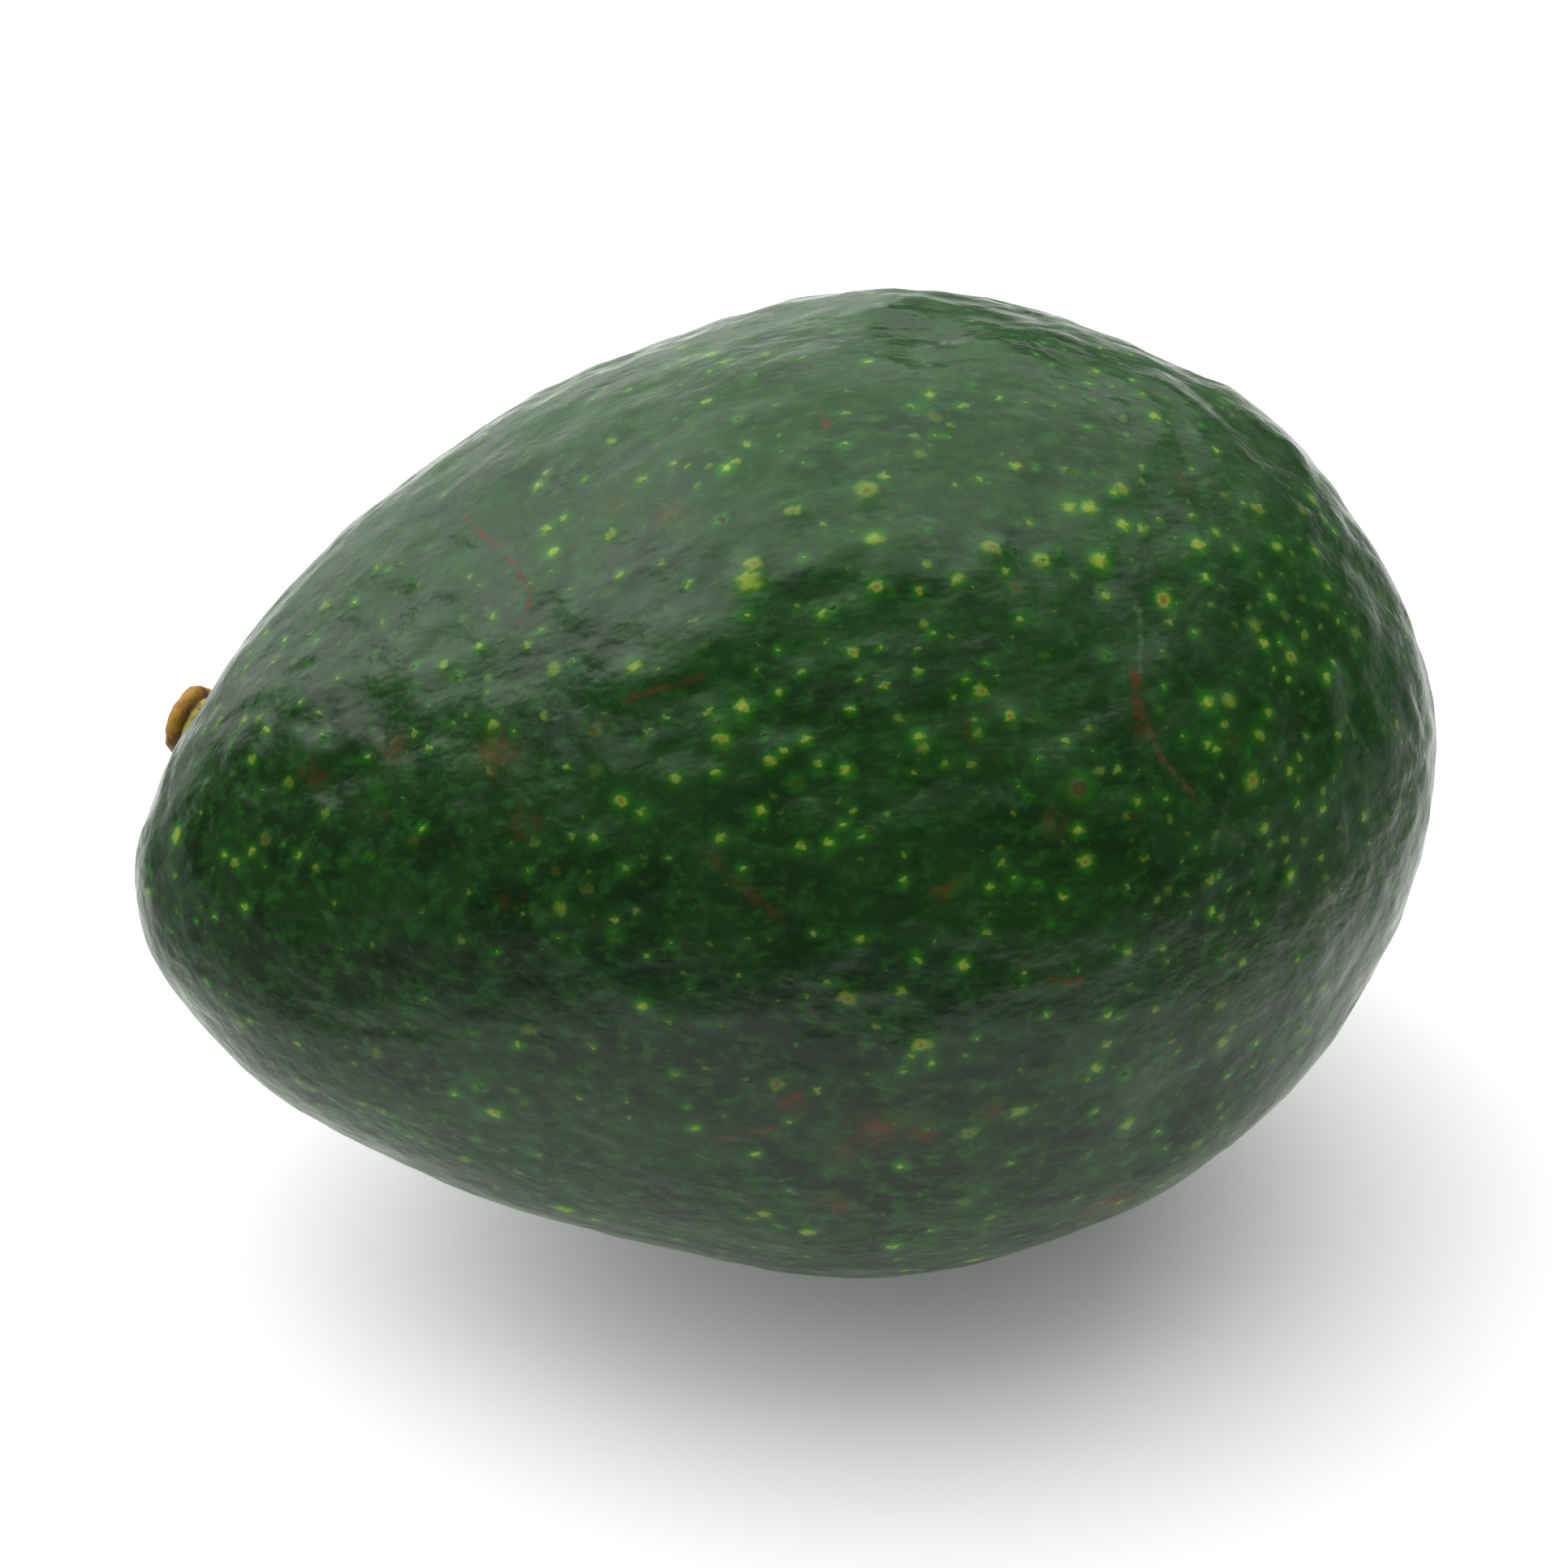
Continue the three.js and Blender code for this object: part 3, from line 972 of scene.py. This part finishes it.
    def _mark_pores(self, mesh: bpy.types.Mesh, skin: Skin, pores: list[Pore]) -> None:
        """Stores where the pores are, for the finish to draw.

        Args:
            mesh: The finished mesh.
            skin: What it looks like.
            pores: The pores.
        """
        centres = [skin.nearest(pore.centre) for pore in pores]
        tree = search_tree(centres)
        ring = np.zeros(len(skin.places))
        for i, place in enumerate(skin.places):
            for _, j, away in tree.find_range(place, self.ring_end):
                pore = pores[j]
                share = pore.strength * math.exp(-((away / pore.ring) ** 2) * self.ring_fall)
                ring[i] = max(ring[i], share)
        store(mesh, "pore_ring", "FLOAT", "POINT", ring)
        centre = np.zeros((len(skin.middles), 3))
        look = np.zeros((len(skin.middles), 3))
        for i, middle in enumerate(skin.middles):
            near = tree.find_n(middle, 3)
            _, j, _ = min(near, key=lambda found: found[2] / pores[found[1]].radius)
            centre[i] = centres[j]
            look[i] = (pores[j].radius, pores[j].tint.value, pores[j].strength)
        store(mesh, "pore_centre", "FLOAT_VECTOR", "FACE", centre)
        store(mesh, "pore_look", "FLOAT_VECTOR", "FACE", look)

    def _mark_scars(self, mesh: bpy.types.Mesh, smooth: Skin, skin: Skin) -> None:
        """Stores where the scars and stained patches are, for the finish to draw.

        Args:
            mesh: The finished mesh.
            smooth: The skin before its relief.
            skin: The skin with its relief.
        """
        count = len(skin.middles)
        start, way, look = (np.zeros((count, 3)) for _ in range(3))
        way[:, 0] = look[:, 0] = 1
        least = np.full(count, np.inf)
        for scar in SCARS:
            found = [smooth.under(self.view, pixel) for pixel in scar.pixels]
            line = [skin.nearest(place) for place in found if place]
            for first, last in zip(line, line[1:]):
                away = np.linalg.norm(to_segment(skin.middles, first, last), axis=1)
                nearer = away < least
                least[nearer] = away[nearer]
                start[nearer] = first
                way[nearer] = last - first
                look[nearer] = (scar.width, scar.strength, scar.paleness)
        look[least > self.scar_end, 1] = 0
        for name, values in (("scar_start", start), ("scar_way", way), ("scar_look", look)):
            store(mesh, name, "FLOAT_VECTOR", "FACE", values)
        patch = np.zeros(len(skin.places))
        for blotch in BLOTCHES:
            place = smooth.under(self.view, blotch.pixel)
            if place:
                away = np.linalg.norm(skin.places - np.array(place), axis=1)
                share = blotch.strength * np.exp(-((away / blotch.radius) ** 2))
                patch = np.maximum(patch, share)
        store(mesh, "russet", "FLOAT", "POINT", patch)


@dataclass(frozen=True)
class DriedStem:
    """The cut stalk of the fruit, dried to cork.

    It is golden where the bark is whole, dark brown on the cut end, and still
    green at the foot, with the matt grain of dry wood. The dark brown in the groove is partly the
    bark's own brown and partly painted shade.
    """

    bark: str = "#a8741a"
    tan: str = "#c99a35"
    groove_shade: str = "#2c1709"
    foot: str = "#a9a634"
    cut: str = "#5e3b17"
    ior: float = 1.5
    roughness: float = 0.6

    def build(self) -> bpy.types.Material:
        """Makes the stem's material.

        Returns:
            The material, which reads Object coordinates and how high up the stub a place is.
        """
        material, tree = new_material("stem_wood_dried")
        place = add_node(tree, "TexCoord").outputs["Object"]
        mm = add_node(
            tree, "VectorMath", {0: place, 1: (1 / MM,) * 3}, operation="MULTIPLY"
        ).outputs[0]
        blotchy, fine = (
            add_node(
                tree,
                "TexNoise",
                {"Vector": mm, "Scale": 1 / size, "Detail": 4.0, "Roughness": 0.6},
            ).outputs["Fac"]
            for size in (1.8, 0.45)
        )
        part = add_node(tree, "Attribute", attribute_name="stem_part")
        foot, groove_shade, cut = add_node(tree, "SeparateXYZ", {0: part.outputs["Vector"]}).outputs
        patchy, weathered = (
            add_node(
                tree,
                "MapRange",
                {0: blotchy, 1: low, 2: high, 4: most},
                interpolation_type="SMOOTHSTEP",
            ).outputs[0]
            for low, high, most in ((0.45, 0.62, 1.0), (0.47, 0.36, 0.85))
        )
        colour = linear(self.bark)
        for share, tone in (
            (patchy, self.tan),
            (foot, self.foot),
            (weathered, self.cut),
            (cut, self.cut),
            # the groove's dark brown is partly painted shade
            (groove_shade, self.groove_shade),
        ):
            colour = add_node(
                tree, "Mix", {0: share, 6: colour, 7: linear(tone)}, data_type="RGBA"
            ).outputs[2]
        normal = add_node(
            tree, "Bump", {"Height": fine, "Strength": 0.7, "Distance": 0.15 * MM}
        ).outputs[0]
        shader = add_node(
            tree,
            "BsdfPrincipled",
            {"Base Color": colour, "Roughness": self.roughness, "Normal": normal, "IOR": self.ior},
        )
        add_node(tree, "OutputMaterial", {"Surface": shader.outputs[0]})
        return material


@dataclass
class Stem:
    """The stub of the stem: a lumpy woody button on a narrower foot."""

    finish: DriedStem
    node: str = "stem"
    slot: str = "stem_wood"
    body: str = "root"
    seat: tuple[float, float, float] = (-52.803, 16.191, 46.483)  # on the skin, mm
    outward: tuple[float, float, float] = (-0.7287, 0.6735, 0.1245)
    steps: int = 48
    sunk: float = 0.6  # how far the foot goes into the skin, mm
    groove_height: float = 2.1  # above the skin, mm
    groove_width: float = 0.25
    cut_radius: float = 2.4  # of the end where it was cut
    fade: float = 0.6  # width of the change from one part's colour to the next

    def build(self) -> bpy.types.Object:
        """Builds and dresses the stub.

        Returns:
            The finished piece.
        """
        # how far out and how high, as the stub is turned, mm
        profile = (
            (3.2, -self.sunk), (3.6, 0.0), (3.7, 0.7), (3.65, 1.3), (3.4, 1.7), (3.1, 2.0),
            (3.1, 2.2), (3.4, 2.4), (3.7, 2.7), (3.75, 3.1), (3.6, 3.5), (3.2, 3.85), (2.6, 4.0),
            (1.9, 4.0), (1.2, 3.9), (0.5, 3.85), (0.0, 3.85),
        )
        turned = bmesh.new()
        points = [turned.verts.new((x * MM, 0, z * MM)) for x, z in profile]
        edges = [turned.edges.new(pair) for pair in zip(points, points[1:])]
        bmesh.ops.spin(
            turned,
            geom=points + edges,
            cent=(0, 0, 0),
            axis=(0, 0, 1),
            angle=2 * math.pi,
            steps=self.steps,
            use_merge=True,
        )
        bmesh.ops.remove_doubles(turned, verts=turned.verts, dist=0.01 * MM)
        rim = [edge for edge in turned.edges if edge.is_boundary]
        bmesh.ops.contextual_create(turned, geom=rim)
        bmesh.ops.recalc_face_normals(turned, faces=turned.faces)
        part = self._lumpy(turned)
        turn = Vector((0, 0, 1)).rotation_difference(Vector(self.outward))
        bmesh.ops.transform(
            turned,
            matrix=Matrix.Translation(Vector(self.seat) * MM) @ turn.to_matrix().to_4x4(),
            verts=turned.verts,
        )
        mesh = bpy.data.meshes.new("avocado_stem")
        turned.to_mesh(mesh)
        turned.free()
        store(mesh, "stem_part", "FLOAT_VECTOR", "POINT", part)
        mesh.materials.append(self.finish.build())
        for polygon in mesh.polygons:
            polygon.use_smooth = True
        piece = link_object("avocado_stem", mesh)
        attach(piece, self.body)
        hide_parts(self.node)
        return piece

    def _lumpy(self, turned: bmesh.types.BMesh) -> np.ndarray:
        """Makes the turned stub uneven, and tells its parts from one another.

        Args:
            turned: The stub, standing upright at the origin, which is changed.

        Returns:
            How much foot, groove and cut end each point is, one row each; the groove's share paints
            shade.
        """
        turned.verts.ensure_lookup_table()
        part = np.zeros((len(turned.verts), 3))
        for i, vert in enumerate(turned.verts):
            place = vert.co / MM
            out = math.hypot(place.x, place.y)
            above = place.z - self.groove_height
            part[i, 0] = min(1.0, max(0.0, -above / self.fade))
            # the groove's mask, which paints shade in the groove
            part[i, 1] = math.exp(-((above / self.groove_width) ** 2))
            part[i, 2] = min(1.0, max(0.0, (self.cut_radius - out) / self.fade))
            swell = 1 + 0.1 * noise.noise(place / 2.2) + 0.05 * noise.noise(place / 0.9)
            vert.co = Vector((place.x * swell, place.y * swell, place.z * (2 + swell) / 3)) * MM
        return part


@dataclass
class Studio:
    """White paper on a grey table under soft boxes in a dim room; the paper glows as painted light,
    with a painted shadow about the fruit.
    """

    side: float = 4.0  # of the floor, m
    glow: float = 0.15  # of the room
    panel_half: tuple[float, float] = (0.084, 0.2)  # of the white paper, which glows as painted light, m
    panel_end: tuple[float, float] = (0.16, 0.36)  # where it has faded to the grey table, m
    panel_middle: tuple[float, float] = (0.015, 0.06)  # right of the fruit and behind it, m
    painted_shadow_middle: tuple[float, float, float] = (0.018, 0.0, 0.0)  # middle of the painted shadow, where the glow is dimmest, m
    painted_shadow_reach: tuple[float, float] = (0.01, 0.075)  # painted shadow: dimmest up to here, whole glow from there, m
    panel_turn: float = 10.0  # towards the camera, degrees
    # the paper's glow: painted light that lifts the floor and its shadows
    painted_floor_glow: float = 0.4
    painted_shadow_least: float = 0.3  # share of the glow left in the painted shadow
    wedge: float = 1.07  # from the paper's middle to where its sides would meet, m
    table: str = "#b0b0b0"
    paper: str = "#f0f0f0"
    aim: tuple[float, float, float] = (0.0, 0.0, 0.04)  # what the lamps face, m

    def build(self) -> None:
        """Builds the floor, the lamps and the room's light."""
        self._floor()
        self._lamp("soft_box_near", (-0.5, 0.27, 0.88), (0.62, 1.05), 1.2)
        self._lamp("soft_box_main", (0.0, 0.4, 0.9), (2.0, 1.9), 0.95)
        self._lamp("strip_box", (0.26, 0.3, 0.9), (0.62, 0.24), 0.9)
        self._lamp("soft_box_wide", (0.05, 0.3, 1.0), (3.2, 3.0), 0.3)
        self._lamp("small_card", (-0.635, -0.28, 0.72), (0.3, 0.26), 0.7)
        self._lamp("soft_box_left", (-0.42, 0.55, 0.58), (0.6, 0.6), 0.5)
        self._lamp("back_sweep", (-0.28, 0.8, 0.15), (1.0, 0.35), 1.15)
        self._room()

    def _floor(self) -> None:
        """Makes the floor of matt paper, which glows near the fruit as painted light, with a
        painted shadow where the fruit lies.
        """
        floor = bmesh.new()
        bmesh.ops.create_grid(floor, x_segments=1, y_segments=1, size=self.side / 2)
        mesh = bpy.data.meshes.new("floor")
        floor.to_mesh(mesh)
        floor.free()
        material, tree = new_material("backdrop_paper_matt")
        place = add_node(tree, "TexCoord").outputs["Object"]
        centred = add_node(
            tree,
            "Mapping",
            {
                "Vector": place,
                "Location": (-self.panel_middle[0], -self.panel_middle[1], 0),
                "Rotation": (0, 0, math.radians(self.panel_turn)),
            },
        ).outputs[0]
        # the camera sees a wedge of the floor, so the paper is wider further back
        side, depth, _ = add_node(tree, "SeparateXYZ", {0: centred}).outputs
        width = add_node(tree, "Math", {0: depth, 1: self.wedge}, operation="ADD").outputs[0]
        even = add_node(tree, "Math", {0: side, 1: width}, operation="DIVIDE").outputs[0]
        level = add_node(tree, "CombineXYZ", {0: even, 1: depth}).outputs[0]
        away = add_node(tree, "VectorMath", {0: level}, operation="ABSOLUTE").outputs[0]
        near = add_node(
            tree,
            "MapRange",
            {"Vector": away, "From Min": (*self.panel_end, 1), "From Max": (*self.panel_half, 0)},
            data_type="FLOAT_VECTOR",
            interpolation_type="SMOOTHSTEP",
        ).outputs["Vector"]
        across, deep, _ = add_node(tree, "SeparateXYZ", {0: near}).outputs
        panel = add_node(tree, "Math", {0: across, 1: deep}, operation="MULTIPLY").outputs[0]
        paper = add_node(
            tree, "Mix", {0: panel, 6: linear(self.table), 7: linear(self.paper)}, data_type="RGBA"
        ).outputs[2]
        # painted shadow: the paper's glow is dimmer where the fruit lies on it
        reach = add_node(
            tree, "VectorMath", {0: place, 1: self.painted_shadow_middle}, operation="DISTANCE"
        ).outputs["Value"]
        hidden, lit = self.painted_shadow_reach
        least = self.painted_shadow_least * self.painted_floor_glow
        glow_with_painted_shadow = add_node(
            tree,
            "MapRange",
            {0: reach, 1: hidden, 2: lit, 3: least, 4: self.painted_floor_glow},
            interpolation_type="SMOOTHSTEP",
        ).outputs[0]
        # the glow is painted light, only on the white paper
        glow = add_node(tree, "Math", {0: panel, 1: glow_with_painted_shadow}, operation="MULTIPLY").outputs[0]
        shader = add_node(
            tree,
            "BsdfPrincipled",
            {
                "Base Color": paper,
                "Roughness": 0.9,
                "Specular IOR Level": 0.0,
                "Emission Color": linear("#ffffff"),
                "Emission Strength": glow,
            },
        )
        add_node(tree, "OutputMaterial", {"Surface": shader.outputs[0]})
        mesh.materials.append(material)
        link_object("floor", mesh)

    def _lamp(
        self,
        name: str,
        place: tuple[float, float, float],
        size: tuple[float, float],
        brightness: float,
    ) -> None:
        """Makes a soft box that faces the fruit.

        Args:
            name: The lamp's name.
            place: Where it hangs, m.
            size: Its width and height, m.
            brightness: How bright its face looks, 1 for white paper in the picture.
        """
        data = bpy.data.lights.new(name, "AREA")
        data.shape = "RECTANGLE"
        data.size, data.size_y = size
        data.energy = brightness * math.pi * size[0] * size[1]
        lamp = bpy.data.objects.new(name, data)
        lamp.location = place
        aim = Vector(self.aim) - Vector(place)
        lamp.rotation_mode = "QUATERNION"
        lamp.rotation_quaternion = aim.to_track_quat("-Z", "Y")
        bpy.context.scene.collection.objects.link(lamp)

    def _room(self) -> None:
        """Makes the dim surroundings."""
        world = bpy.data.worlds.new("studio")
        bpy.context.scene.world = world
        world.use_nodes = True
        tree = world.node_tree
        tree.nodes.clear()
        glow = add_node(tree, "Background", {"Color": linear("#ffffff"), "Strength": self.glow})
        add_node(tree, "OutputWorld", {"Surface": glow.outputs[0]})


def main() -> None:
    """Builds the scene piece by piece."""
    logging.basicConfig(level=logging.INFO, format="%(message)s")
    bpy.context.scene.view_settings.view_transform = "Standard"
    view = View()
    view.build()
    Studio().build()
    LOG.info("studio and camera built")
    for part in (Fruit(view, PoreGrowth(view), AvocadoSkin()), Stem(DriedStem())):
        piece = part.build()
        LOG.info("%s built: %d faces", piece.name, len(piece.data.polygons))


if __name__ == "__main__":
    main()
